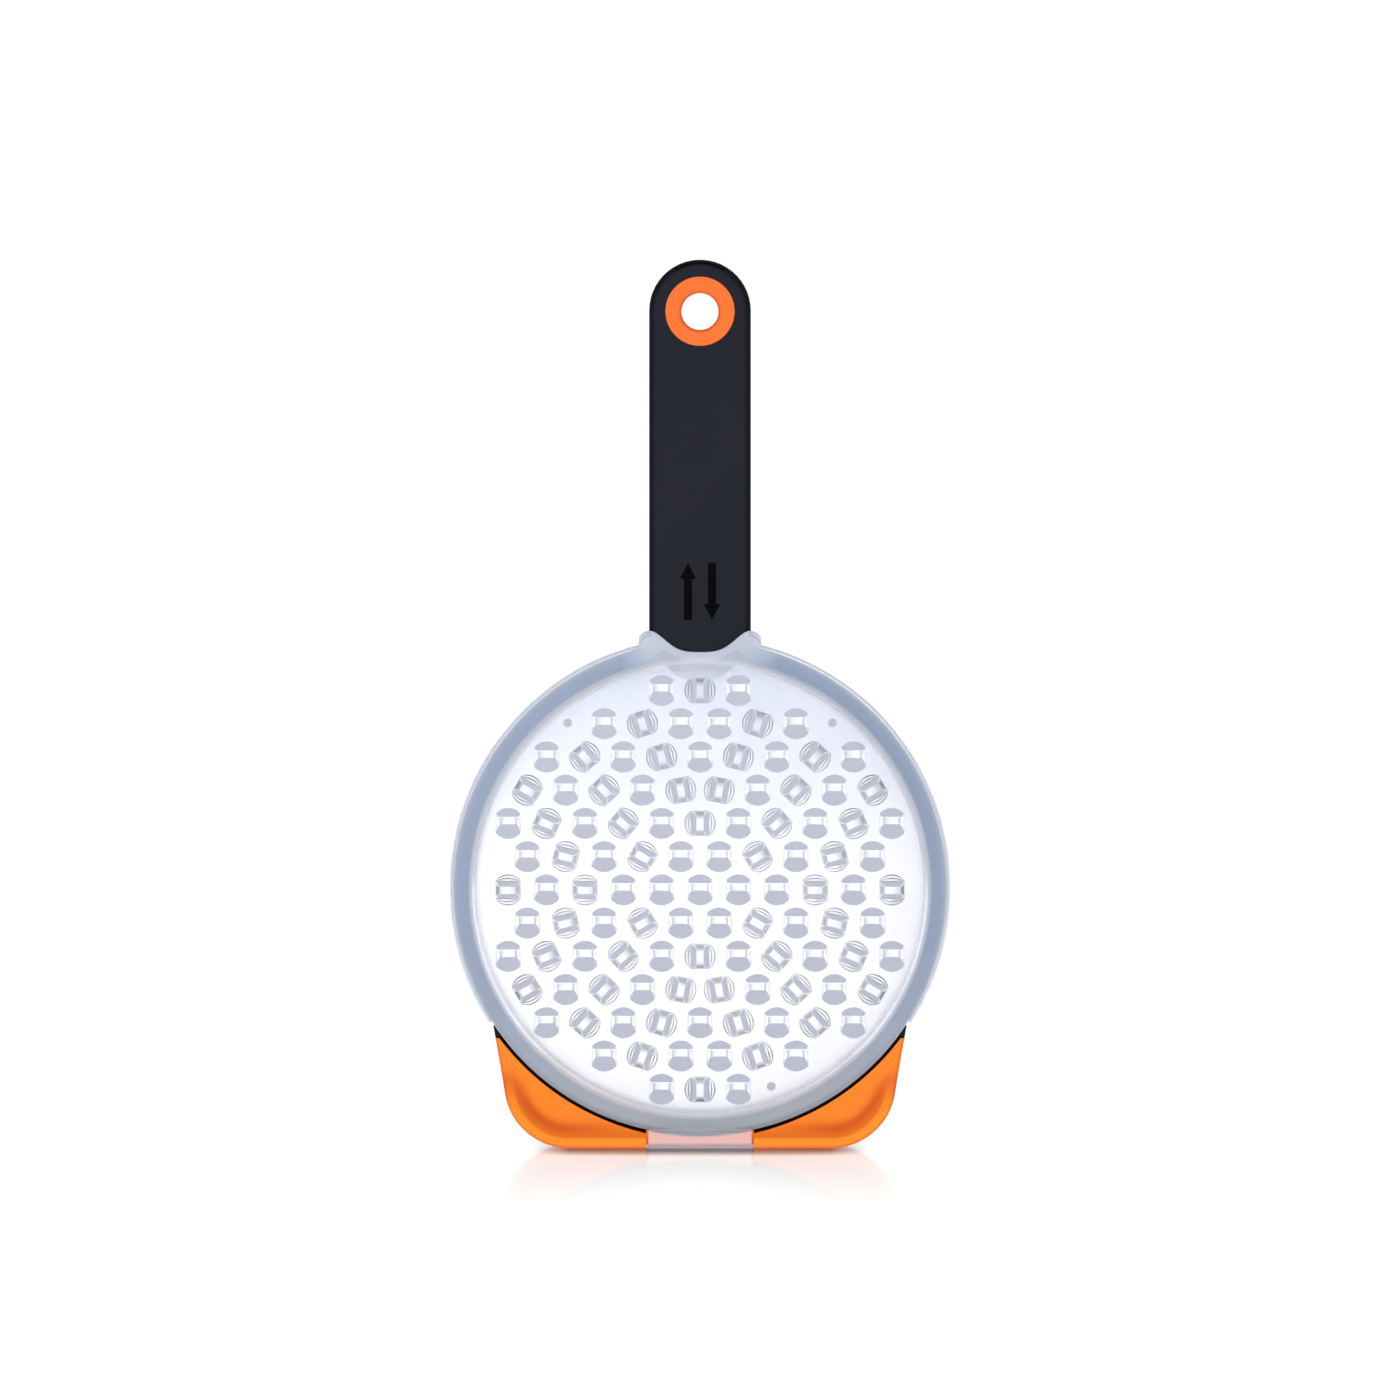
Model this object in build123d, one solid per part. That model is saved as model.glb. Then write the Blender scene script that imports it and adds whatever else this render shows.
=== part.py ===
from build123d import *

import math
import os

# Two-sided hand grater with a snap-on cover, standing on a rubber foot.
#
# Frame: millimetres, +Z up along the handle, -Y towards the covered front side.
# The origin is the middle of the foot's underside, in the grating plate's own plane.

# Driving dimensions
OVERALL_HEIGHT = 287.8
HEAD_Z = 84.0               # height of the round head's centre
PLATE_RADIUS = 77.5
PLATE_THICKNESS = 0.6
TOOTH_PITCH = 12.46         # spacing of the hexagonal tooth lattice
TOOTH_FIELD_Z = 83.25       # height of the lattice's middle, a little below the head's
FRAME_HALF_DEPTH = 5.0
RING_INNER_RADIUS = 75.0
RING_OUTER_RADIUS = 79.8
FOOT_BAND_RADIUS = 81.2     # the ring is this much wider where the foot joins it
HANDLE_WIDTH = 33.0
FIT_GAP = 0.02              # between moulded parts that are pressed together
COVER_GAP = 0.2             # between the cover and the frame's front face

# Teeth: round openings, each bridged by a raised blade that cuts along both edges
TOOTH_FIELD_RADIUS = 5.4 * TOOTH_PITCH
OPENING_RADIUS = 5.08
BLADE_HALF_SPAN = 4.1
BLADE_HALF_WIDTH = 1.2
BLADE_STRAIGHT = 2.4        # half the length over which the blade's edges are parallel
BLADE_RISE = 3.6
LIP_WIDTH = 1.4             # crescent rims raised beside the radial blades
LIP_RISE = 1.1
LIP_GAP = 1.0               # from a blade's edge to where its lips are cut off
LOCATING_HOLE_RADIUS = 1.45
LOCATING_CIRCLE_RADIUS = 68.6
LOCATING_ANGLES = (51.2, 128.8, -70.3)

# Handle
HANDLE_END_RADIUS = HANDLE_WIDTH / 2
HANDLE_END_Z = OVERALL_HEIGHT - HANDLE_END_RADIUS
HANDLE_EDGE_FILLET = 2.4
HEAD_EDGE_FILLET = 1.6
HANDLE_WALL = 2.6
HANG_Z = 271.0              # hanging hole
POCKET_BOTTOM = HEAD_Z + RING_OUTER_RADIUS + 3.0
POCKET_TOP = HANG_Z - 15.0
PIN_RADIUS = 2.0
PIN_DEPTH = 3.0
PIN_HEIGHTS = (178.0, 212.0, 246.0)
ARROW_LENGTH = 18.5
ARROW_HEAD = (5.3, 5.2)     # width, length
ARROW_SHAFT_WIDTH = 2.6
ARROW_OFFSET = 3.9
ARROW_MIDDLE_Z = 180.2
ARROW_DEPTH = 0.4

# Hanging ring
GROMMET_FLANGE_RADIUS = 11.2
GROMMET_CORE_RADIUS = 9.3
GROMMET_HOLE_RADIUS = 6.0
GROMMET_FLANGE_DEPTH = 2.0
GROMMET_PROUD = 0.25
GROMMET_ROUND = 1.3

# Foot
FOOT_TIP = (67.0, 39.3)     # where the foot's side meets the ring
FOOT_CORNER_X = 60.1        # where side and underside would meet without the round
FOOT_CORNER_RADIUS = 21.0
FOOT_SKIN = 2.2             # rubber over the core
FOOT_CORE_HALF_DEPTH = 3.0
RUBBER_TOP_Z = 35.4
FOOT_HALF_DEPTH = 9.0       # at the flared edge that it stands on
BEAD_WIDTH = 3.9            # flat-topped part of the flare along the foot's outline
BEAD_ROUND = 1.2
COVE_WIDTH = 8.0            # concave run from the flat face out to the bead
FLARE_FADE = (11.0, 30.0)   # heights between which the flare dies out up the side
TAB_RECESS = (17.4, 1.2)    # half width and height of the channel for the cover's tongue

# Cover
COVER_WALL = 1.2
COVER_FACE_Y = -9.0
COVER_FACE_RADIUS = 73.4
COVER_STEP_RADIUS = 74.7
COVER_RIM_RADIUS = 81.5
COVER_LOWER_RIM_RADIUS = 80.0
COVER_SKIRT_BACK_Y = 3.0
COVER_SKIRT_END_ANGLES = (212.6, 327.4)
COVER_LUG = (20.2, 83.5)    # half width and height above the head's centre
LUG_ROUND = 3.2
LIP_DIP = 76.6              # lowest point of the lip above the head's centre
LIP_PEAK = (16.4, 83.8)
FACE_NOTCH_DIP = 68.8
FACE_NOTCH_PEAK = (15.0, 73.6)
TAB_HALF_WIDTH = 16.7
TAB_CLEARANCE = 0.2
TAB_LEDGE_Z = 4.8           # underside of the step over the foot's flare
TAB_FLOOR_END_Y = 4.5
HANDLE_CLEARANCE = 0.25


def slab(outline, y_front, y_back):
    """Extrudes an outline drawn in X and Z from y_back forward to y_front."""
    return Pos(0, y_back, 0) * extrude(Plane.XZ * outline, y_back - y_front)


def disc(radius):
    return Pos(0, HEAD_Z) * Circle(radius)


# ---------------------------------------------------------------- grating plate


def tooth_lattice():
    """Every tooth as (x, z, is_straight), z from the middle of the tooth field.

    Rows run across the head. Straight teeth stand out at the back; radial ones, on every
    second diagonal of each quadrant, stand out at the front.
    """
    row_pitch = TOOTH_PITCH * math.sqrt(3) / 2
    rows = int(TOOTH_FIELD_RADIUS / row_pitch) + 1
    for row in range(-rows, rows + 1):
        shift = 0.5 if row % 2 else 0.0
        for column in range(-rows, rows + 1):
            across = column + shift
            x, z = across * TOOTH_PITCH, row * row_pitch
            if math.hypot(x, z) > TOOTH_FIELD_RADIUS:
                continue
            diagonal = round(abs(across) - abs(row) / 2)
            near_centre = math.hypot(x, z) < 1.1 * TOOTH_PITCH
            yield x, z, diagonal % 2 == 0 or near_centre


def tooth_opening():
    """Plan of one opening: a circle cut off where the blade's two ends fold up."""
    return Circle(OPENING_RADIUS) & Rectangle(2 * BLADE_HALF_SPAN, 3 * OPENING_RADIUS)


def blade_plan():
    """Plan of one blade: parallel edges that widen into the ends."""
    end_half = math.sqrt(OPENING_RADIUS**2 - BLADE_HALF_SPAN**2)
    widening = (BLADE_STRAIGHT + 0.95, BLADE_HALF_WIDTH + 0.55)
    quarter = [
        Line((0, BLADE_HALF_WIDTH), (BLADE_STRAIGHT, BLADE_HALF_WIDTH)),
        ThreePointArc(
            (BLADE_STRAIGHT, BLADE_HALF_WIDTH), widening, (BLADE_HALF_SPAN, end_half)
        ),
        Line((BLADE_HALF_SPAN, end_half), (BLADE_HALF_SPAN, 0)),
        Line((BLADE_HALF_SPAN, 0), (0, 0)),
        Line((0, 0), (0, BLADE_HALF_WIDTH)),
    ]
    half = make_face(quarter)
    half += mirror(half, Plane.YZ)
    return half + mirror(half, Plane.XZ)


def arch(half_span, top_half_span, bottom, shoulder, top, corner):
    """Side view of the space under an arch."""
    outline = Polygon(
        (-half_span, bottom),
        (half_span, bottom),
        (half_span, shoulder),
        (top_half_span, top),
        (-top_half_span, top),
        (-half_span, shoulder),
        align=None,
    )
    return fillet(outline.vertices().sort_by(Axis.Y)[-2:], corner)


def blade():
    """One blade lying along X and raised along +Z."""
    half = PLATE_THICKNESS / 2
    outer = arch(BLADE_HALF_SPAN, 3.2, -half, half, half + BLADE_RISE, 1.3)
    inner = arch(BLADE_HALF_SPAN - 0.7, 2.65, -half, 0, BLADE_RISE - half, 0.7)
    side_view = outer - inner
    bent = extrude(Plane.XZ * side_view, OPENING_RADIUS, both=True)
    return bent & extrude(blade_plan(), 2 * BLADE_RISE, both=True)


def lips():
    """Crescent rims raised on both sides of a radial blade."""
    outer, inner = OPENING_RADIUS + 0.2, OPENING_RADIUS - LIP_WIDTH
    low, high = PLATE_THICKNESS / 2 - 0.1, PLATE_THICKNESS / 2 + LIP_RISE
    section = Polygon(
        (outer, low - 0.3), (outer, low), (inner, high), (inner, high - 0.4), align=None
    )
    ring = revolve(Plane.XZ * section, Axis.Z)
    spread = 2 * (BLADE_HALF_WIDTH + LIP_GAP)
    return ring - Box(4 * OPENING_RADIUS, spread, 4 * LIP_RISE)


def build_grater_plate():
    plate = slab(disc(PLATE_RADIUS), -PLATE_THICKNESS / 2, PLATE_THICKNESS / 2)
    opening = extrude(tooth_opening(), PLATE_THICKNESS, both=True)
    straight_tooth = [blade()]
    radial_tooth = straight_tooth + lips().solids()
    openings, teeth = [], []
    for x, z, is_straight in tooth_lattice():
        angle = 0.0 if is_straight else math.atan2(z, x)
        seat = Plane(
            origin=(x, 0, TOOTH_FIELD_Z + z),
            x_dir=(math.cos(angle), 0, math.sin(angle)),
            z_dir=(0, 1 if is_straight else -1, 0),
        )
        openings.append(seat * opening)
        teeth += [seat * piece for piece in (straight_tooth if is_straight else radial_tooth)]
    for angle in LOCATING_ANGLES:
        spot = Pos(
            LOCATING_CIRCLE_RADIUS * math.cos(math.radians(angle)),
            HEAD_Z + LOCATING_CIRCLE_RADIUS * math.sin(math.radians(angle)),
        )
        openings.append(slab(spot * Circle(LOCATING_HOLE_RADIUS), -1, 1))
    return (plate - openings) + teeth


# ------------------------------------------------------------------------ frame


def foot_outline():
    outline = Polygon(
        FOOT_TIP, (-FOOT_TIP[0], FOOT_TIP[1]), (-FOOT_CORNER_X, 0), (FOOT_CORNER_X, 0),
        align=None,
    )
    return fillet(outline.vertices().sort_by(Axis.Y)[:2], FOOT_CORNER_RADIUS)


def handle_outline():
    """Straight bar with a round end, starting inside the ring."""
    start = HEAD_Z + RING_INNER_RADIUS - 2.0
    bar = Pos(0, (start + HANDLE_END_Z) / 2) * Rectangle(HANDLE_WIDTH, HANDLE_END_Z - start)
    return bar + Pos(0, HANDLE_END_Z) * Circle(HANDLE_END_RADIUS)


def head_outline():
    """The round head with the wider band above the foot, still filled in."""
    foot = foot_outline()
    tips = foot & Pos(0, RUBBER_TOP_Z + 50) * Rectangle(200, 100)
    band = (foot & disc(FOOT_BAND_RADIUS)) + tips
    band -= Rectangle(2 * TAB_RECESS[0], 20)
    return disc(RING_OUTER_RADIUS) + band


def foot_core_outline():
    core = offset(foot_outline(), -FOOT_SKIN)
    core &= Pos(0, RUBBER_TOP_Z / 2) * Rectangle(200, RUBBER_TOP_Z)
    return core - disc(RING_OUTER_RADIUS)


def arrow():
    """Arrow outline centred on the origin and pointing up."""
    head_width, head_length = ARROW_HEAD
    tip = ARROW_LENGTH / 2
    neck = tip - head_length
    shaft = ARROW_SHAFT_WIDTH / 2
    half = head_width / 2
    return Polygon(
        (0, tip), (-half, neck), (-shaft, neck), (-shaft, -tip),
        (shaft, -tip), (shaft, neck), (half, neck),
        align=None,
    )


def arrows():
    up = Pos(-ARROW_OFFSET, ARROW_MIDDLE_Z) * arrow()
    return up + Pos(ARROW_OFFSET, ARROW_MIDDLE_Z) * Rot(0, 0, 180) * arrow()


def pocket_outline():
    """Hollow inside the handle, with three full-width ribs left for the joining pins."""
    height = POCKET_TOP - POCKET_BOTTOM
    width = HANDLE_WIDTH - 2 * HANDLE_WALL
    pocket = Pos(0, (POCKET_TOP + POCKET_BOTTOM) / 2) * RectangleRounded(width, height, 3)
    for z in PIN_HEIGHTS:
        pocket -= Pos(0, z) * Rectangle(HANDLE_WIDTH, 3 * PIN_RADIUS + 2)
    return pocket


def rounded_slab(outline, radius):
    """Front half of the frame's depth, with its front edge rounded."""
    block = slab(outline, -FRAME_HALF_DEPTH, 0)
    rim = block.faces().sort_by(Axis.Y)[0].outer_wire().edges()
    return fillet(rim, radius)


def frame_half():
    """The half of the frame in front of the plate, before its pins are added."""
    body = rounded_slab(head_outline(), HEAD_EDGE_FILLET)
    body += rounded_slab(handle_outline(), HANDLE_EDGE_FILLET)
    body -= slab(disc(RING_INNER_RADIUS), -FRAME_HALF_DEPTH, 0)
    body += slab(foot_core_outline(), -FOOT_CORE_HALF_DEPTH, 0)
    body -= slab(pocket_outline(), HANDLE_WALL - FRAME_HALF_DEPTH, 0)
    body -= slab(disc(PLATE_RADIUS + 0.1), -PLATE_THICKNESS / 2, 0)
    seat = Pos(0, HANG_Z) * Circle(GROMMET_CORE_RADIUS + FIT_GAP)
    body -= slab(seat, -FRAME_HALF_DEPTH, 0)
    flange_seat = Pos(0, HANG_Z) * Circle(GROMMET_FLANGE_RADIUS + FIT_GAP)
    flange_back = GROMMET_FLANGE_DEPTH - FRAME_HALF_DEPTH - GROMMET_PROUD + FIT_GAP
    body -= slab(flange_seat, -FRAME_HALF_DEPTH, flange_back)
    return body - slab(arrows(), -FRAME_HALF_DEPTH, ARROW_DEPTH - FRAME_HALF_DEPTH)


def build_front_frame(half):
    pins = [
        slab(Pos(0, z) * Circle(PIN_RADIUS), -1, PIN_DEPTH - 0.2) for z in PIN_HEIGHTS
    ]
    return half + pins


def build_back_frame(half):
    back = mirror(half, Plane.XZ)
    sockets = [
        slab(Pos(0, z) * Circle(PIN_RADIUS + FIT_GAP), 0, PIN_DEPTH) for z in PIN_HEIGHTS
    ]
    return back - sockets


def build_hang_ring():
    """Spool held between the two frame halves, with a rounded hole right through."""
    reach = FRAME_HALF_DEPTH + GROMMET_PROUD
    flange = GROMMET_FLANGE_DEPTH
    section = Polygon(
        (GROMMET_HOLE_RADIUS, -reach), (GROMMET_FLANGE_RADIUS, -reach),
        (GROMMET_FLANGE_RADIUS, flange - reach), (GROMMET_CORE_RADIUS, flange - reach),
        (GROMMET_CORE_RADIUS, reach - flange), (GROMMET_FLANGE_RADIUS, reach - flange),
        (GROMMET_FLANGE_RADIUS, reach), (GROMMET_HOLE_RADIUS, reach),
        align=None,
    )
    mouths = section.vertices().filter_by(
        lambda v: abs(v.X - GROMMET_HOLE_RADIUS) < 1e-6
    )
    section = fillet(mouths, GROMMET_ROUND)
    ring = revolve(section, Axis.Y)
    return Pos(0, 0, HANG_Z) * ring


# ------------------------------------------------------------------- rubber foot


def flare_section():
    """Section across the flare: distance in from the foot's outline, then depth."""
    back = 0.0
    front = FOOT_HALF_DEPTH
    flat = FRAME_HALF_DEPTH
    drop = front - flat
    radius = (COVE_WIDTH**2 + drop**2) / (2 * drop)
    inner = BEAD_WIDTH + COVE_WIDTH
    half_angle = math.asin(COVE_WIDTH / radius) / 2
    middle = (
        inner - radius * math.sin(half_angle),
        flat + radius * (1 - math.cos(half_angle)),
    )
    section = make_face(
        [
            Line((0, back), (0, front)),
            Line((0, front), (BEAD_WIDTH, front)),
            ThreePointArc((BEAD_WIDTH, front), middle, (inner, flat)),
            Line((inner, flat), (inner, back)),
            Line((inner, back), (0, back)),
        ]
    )
    crest = section.vertices().filter_by(lambda v: abs(v.Y - front) < 1e-6)
    return fillet(crest, BEAD_ROUND)


def foot_flare():
    """Bead and cove along the underside, round the corners and up the sides."""
    lean = math.atan2(FOOT_TIP[1], FOOT_TIP[0] - FOOT_CORNER_X)
    corner_x = FOOT_CORNER_X - FOOT_CORNER_RADIUS * math.tan(lean / 2)
    turn = math.degrees(lean)
    section = flare_section()
    upright = Plane(origin=(0, 0, 0), x_dir=(0, 0, 1), z_dir=(1, 0, 0))
    along_base = extrude(upright * section, corner_x)
    at_corner = Pos(corner_x, 0, 0) * (upright * section)
    centre = Axis((corner_x, 0, FOOT_CORNER_RADIUS), (0, 1, 0))
    round_corner = revolve(at_corner, centre, -turn)
    last = at_corner.rotate(centre, -turn)
    run_up = (math.cos(lean), 0, math.sin(lean))
    up_side = extrude(last, FOOT_TIP[1], dir=run_up)
    side = along_base + round_corner + up_side
    return side + mirror(side, Plane.YZ)


def build_rubber_foot():
    outline = foot_outline() & Pos(0, RUBBER_TOP_Z / 2) * Rectangle(200, RUBBER_TOP_Z)
    flat = slab(outline, -FRAME_HALF_DEPTH, 0)
    fade_curve = Spline(
        (-FOOT_HALF_DEPTH, FLARE_FADE[0]), (-FRAME_HALF_DEPTH, FLARE_FADE[1]),
        tangents=[(0, 1), (0, 1)],
    )
    fade_edges = fade_curve + Polyline(
        (-FRAME_HALF_DEPTH, FLARE_FADE[1]), (1, FLARE_FADE[1]), (1, -1),
        (-FOOT_HALF_DEPTH, -1), (-FOOT_HALF_DEPTH, FLARE_FADE[0]),
    )
    fade = Plane.YZ * make_face(fade_edges)
    flare = foot_flare() & extrude(fade, 100, both=True)
    half = flat + flare
    half -= slab(head_outline(), -FRAME_HALF_DEPTH, 1)
    half -= slab(disc(FOOT_BAND_RADIUS), -FOOT_HALF_DEPTH - 1, -FRAME_HALF_DEPTH)
    half -= slab(foot_core_outline(), -FOOT_CORE_HALF_DEPTH, 1)
    half = half & Pos(0, -50, 50) * Box(300, 100, 120)
    foot = half + mirror(half, Plane.XZ)
    reach = FOOT_HALF_DEPTH + 1
    half_width, depth = TAB_RECESS
    foot -= slab(Pos(0, depth / 2) * Rectangle(2 * half_width, depth), -reach, reach)
    channel = Pos(0, reach) * Rectangle(2 * half_width, 3 * reach)
    inner = FOOT_HALF_DEPTH - COVER_WALL - TAB_CLEARANCE
    return foot - slab(channel, -reach, -inner) - slab(channel, inner, reach)


# ------------------------------------------------------------------------- cover


def notch_outline(peak, dip, inset):
    """Area above a smooth U-shaped curve, in X and height above the head's centre."""
    half, top = peak[0] + inset, peak[1] - inset
    bottom = dip - inset
    level = [(1, 0), (1, 0)]
    waist = (0.61 * half, bottom + 0.33 * (top - bottom))
    curve = Spline((-half, top), (-waist[0], waist[1]), (0, bottom), tangents=level)
    curve += Spline((0, bottom), waist, (half, top), tangents=level)
    ceiling = HEAD_Z + 20
    edges = curve + Polyline((half, top), (half, ceiling), (-half, ceiling), (-half, top))
    return make_face(edges)


def notch_cutter(inset, face_y, rim_y):
    """The space over the ramp that runs from the cover's face back to its lip."""
    face = Pos(0, 0, HEAD_Z) * (Plane.XZ * notch_outline(FACE_NOTCH_PEAK, FACE_NOTCH_DIP, inset))
    lip = Pos(0, 0, HEAD_Z) * (Plane.XZ * notch_outline(LIP_PEAK, LIP_DIP, inset))
    return loft([Pos(0, face_y, 0) * face, Pos(0, rim_y, 0) * lip], ruled=True)


def cover_volume(inset):
    """The cover's outer form, or with an inset equal to its wall, the space inside it."""
    face_y = COVER_FACE_Y + inset
    rim_front = -FRAME_HALF_DEPTH - COVER_GAP - COVER_WALL + inset
    back = COVER_SKIRT_BACK_Y
    section = Polygon(
        (0, face_y), (COVER_FACE_RADIUS - inset, face_y), (COVER_STEP_RADIUS - inset, rim_front),
        (COVER_RIM_RADIUS - inset, rim_front), (COVER_RIM_RADIUS - inset, back), (0, back),
        align=None,
    )
    return Pos(0, 0, HEAD_Z) * revolve(section, Axis.Y)


def lug_outline():
    half, height = COVER_LUG
    outline = Pos(0, HEAD_Z + height / 2) * Rectangle(2 * half, height)
    return fillet(outline.vertices().sort_by(Axis.Y)[-2:], LUG_ROUND)


def lower_cut_outline():
    """Where the skirt is left off above the foot."""
    start, end = (math.radians(a) for a in COVER_SKIRT_END_ANGLES)
    reach = 200
    wedge = Polygon(
        (0, 0), (reach * math.cos(start), reach * math.sin(start)), (0, -2 * reach),
        (reach * math.cos(end), reach * math.sin(end)),
        align=None,
    )
    return Pos(0, HEAD_Z) * wedge - disc(COVER_LOWER_RIM_RADIUS)


def build_cover():
    rim_back = -FRAME_HALF_DEPTH - COVER_GAP
    rim_front = rim_back - COVER_WALL
    outer = cover_volume(0) + slab(lug_outline(), rim_front, COVER_SKIRT_BACK_Y)
    outer -= slab(lower_cut_outline(), rim_front - 1, COVER_SKIRT_BACK_Y + 1)
    outer -= notch_cutter(0, COVER_FACE_Y - 0.01, rim_back)
    grip = Pos(0, HEAD_Z + 100) * Rectangle(HANDLE_WIDTH + 2 * HANDLE_CLEARANCE, 60)
    outer -= slab(grip, rim_back, COVER_SKIRT_BACK_Y + 1)
    inner = cover_volume(COVER_WALL) - notch_cutter(COVER_WALL, COVER_FACE_Y + COVER_WALL, rim_back)
    cover = outer - inner
    return cover + cover_tab()


def cover_tab():
    """Flat tongue stepped out over the foot's flare and turned under it."""
    rim_back = -FRAME_HALF_DEPTH - COVER_GAP
    tongue_back = COVER_WALL - FOOT_HALF_DEPTH
    floor = TAB_RECESS[1] - TAB_CLEARANCE
    ledge = TAB_LEDGE_Z
    top = ledge + 3 * COVER_WALL
    side_view = Polygon(
        (rim_back, top), (rim_back, ledge), (tongue_back, ledge), (tongue_back, floor),
        (TAB_FLOOR_END_Y, floor), (TAB_FLOOR_END_Y, 0), (tongue_back - COVER_WALL, 0),
        (tongue_back - COVER_WALL, ledge + COVER_WALL),
        (rim_back - COVER_WALL, ledge + COVER_WALL), (rim_back - COVER_WALL, top),
        align=None,
    )
    return extrude(Plane.YZ * side_view, TAB_HALF_WIDTH, both=True)


def main():
    os.makedirs("parts", exist_ok=True)
    half = frame_half()
    parts = {
        "front_frame": build_front_frame(half),
        "back_frame": build_back_frame(half),
        "grater_plate": build_grater_plate(),
        "hang_ring": build_hang_ring(),
        "rubber_foot": build_rubber_foot(),
        "cover": build_cover(),
    }
    for name, shape in parts.items():
        export_step(shape, f"parts/{name}.step")


main()
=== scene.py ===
"""Looks for the two-sided hand grater: refined pieces, procedural materials, studio and camera.

Lengths in the builders are millimetres in the row frame; they become metres when a mesh is made.
The covered front of the grater faces -Y.
"""

import math
from types import SimpleNamespace

import bmesh
import bpy
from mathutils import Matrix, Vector
from mathutils.geometry import delaunay_2d_cdt


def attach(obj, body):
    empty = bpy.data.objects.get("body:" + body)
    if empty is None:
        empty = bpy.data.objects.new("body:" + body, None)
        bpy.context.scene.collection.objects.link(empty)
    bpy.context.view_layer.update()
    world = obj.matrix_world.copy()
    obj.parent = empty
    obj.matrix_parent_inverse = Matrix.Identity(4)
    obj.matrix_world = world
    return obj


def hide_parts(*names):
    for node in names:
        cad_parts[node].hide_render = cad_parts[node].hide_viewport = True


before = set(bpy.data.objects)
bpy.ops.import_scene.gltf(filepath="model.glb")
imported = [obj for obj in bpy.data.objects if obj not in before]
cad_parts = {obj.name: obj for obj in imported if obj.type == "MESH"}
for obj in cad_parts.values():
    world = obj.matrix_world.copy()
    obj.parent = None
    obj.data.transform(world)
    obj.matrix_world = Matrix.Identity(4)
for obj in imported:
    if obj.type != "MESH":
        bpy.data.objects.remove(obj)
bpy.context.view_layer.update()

MM = 0.001
HEAD_Z = 84.0                   # height of the round head's centre
SHARP_ANGLE = 40                # degrees; edges between steeper faces stay sharp
MERGE_DISTANCE = 1e-7           # metres

# Arrows sunk into the handle's front
ARROW_MOUTH_Y = -4.95
ARROW_FLOOR_Y = -4.65
ARROW_LOW_Z = 168.0
ARROWS_HALF_WIDTH = 8.0
MASK_EDGE = 0.1                 # over which a mask by place fades out

# Grating plate
PLATE_RADIUS = 77.5
PLATE_HALF = 0.3
PLATE_STEPS = 240
KEEP_INSIDE_RIM = 1             # the triangulation's output kind: triangles inside the rim
POINT_GAP = 1e-5                # millimetres; nearer points count as one
TOOTH_PITCH = 12.46
TOOTH_FIELD_Z = 83.25           # the lattice's middle, a little below the head's centre
TOOTH_FIELD_RADIUS = 5.4 * TOOTH_PITCH
NEAR_CENTRE = 1.1 * TOOTH_PITCH
OPENING_RADIUS = 5.08
OPENING_STEPS = 14
LOCATING_HOLE_RADIUS = 1.45
LOCATING_HOLE_STEPS = 24
LOCATING_CIRCLE_RADIUS = 68.6
LOCATING_ANGLES = (51.2, 128.8, -70.3)

# Blades, arched along their length and waisted across it
BLADE_HALF_SPAN = 4.1
BLADE_HALF_WIDTH = 1.15
BLADE_END_WIDTH = 3.05
BLADE_RISE = 3.6
BLADE_UNDERSIDE_RISE = 3.75
BLADE_END_THICKNESS = 0.5
BLADE_WAIST_POWER = 1.6
BLADE_STEPS = 22
BLADE_COLUMNS = (-1.0, -0.5, 0.0, 0.5, 1.0)
STRAIGHT_ARCH_POWER = 3.2
RADIAL_ARCH_POWER = 2.6
STRAIGHT_BLADE_OFFSET = 0.8     # how much higher than its ends the top of a straight blade sits

# Raised rims beside the radial blades; the section is (inward, height), both as shares
LIP_WIDTH = 2.6
LIP_RISE = 1.3
LIP_THICKNESS = 0.35
LIP_SWELL_POWER = 0.6
LIP_STEPS = 16
LIP_SECTION = ((0.0, 0.0), (0.2, 0.4), (0.4, 0.38), (0.6, 0.78), (0.8, 0.76), (1.0, 1.1))

# Foot
FOOT_TIP = (67.0, 39.3)         # where the foot's side would meet the ring
FOOT_CORNER_X = 60.1            # where side and underside would meet without the round
FOOT_CORNER_RADIUS = 21.0
RUBBER_TOP_Z = 35.4
RUBBER_BAND_RADIUS = 81.2
MIDDLE_BAND_RADIUS = 80.1
FLAT_DEPTH = 5.0
BEAD_DEPTH = 9.0
BEAD_WIDTH = 3.2
BEAD_SAG = 0.1
BEAD_SAG_START = 0.4            # share of the bead's width
COVE_WIDTH = 9.0
COVE_POWER = 2.6
EDGE_ROUND = 1.5
FLARE_FADE = (9.0, 30.0)        # heights between which the flare dies out up the side
CHANNEL_HALF_WIDTH = 17.4
CHANNEL_DEPTH = 7.6
CHANNEL_FLOOR = 1.2
UNDERSIDE_STEPS = 24
CORNER_STEPS = 40
SIDE_STEPS = 20
FOOT_ROWS = 40
MIDDLE_STEPS = 16

# Where the rubber's painted bead highlight and painted hollow shade change, as (start, end)
BEAD_TOP_DEPTHS = (7.6, 8.9)
HOLLOW_INNER_DEPTHS = (5.1, 6.0)
HOLLOW_OUTER_DEPTHS = (6.3, 7.8)
HOLLOW_SIDEWAYS = (24.0, 44.0)
HOLLOW_HEIGHTS = (16.0, 32.0)

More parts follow.
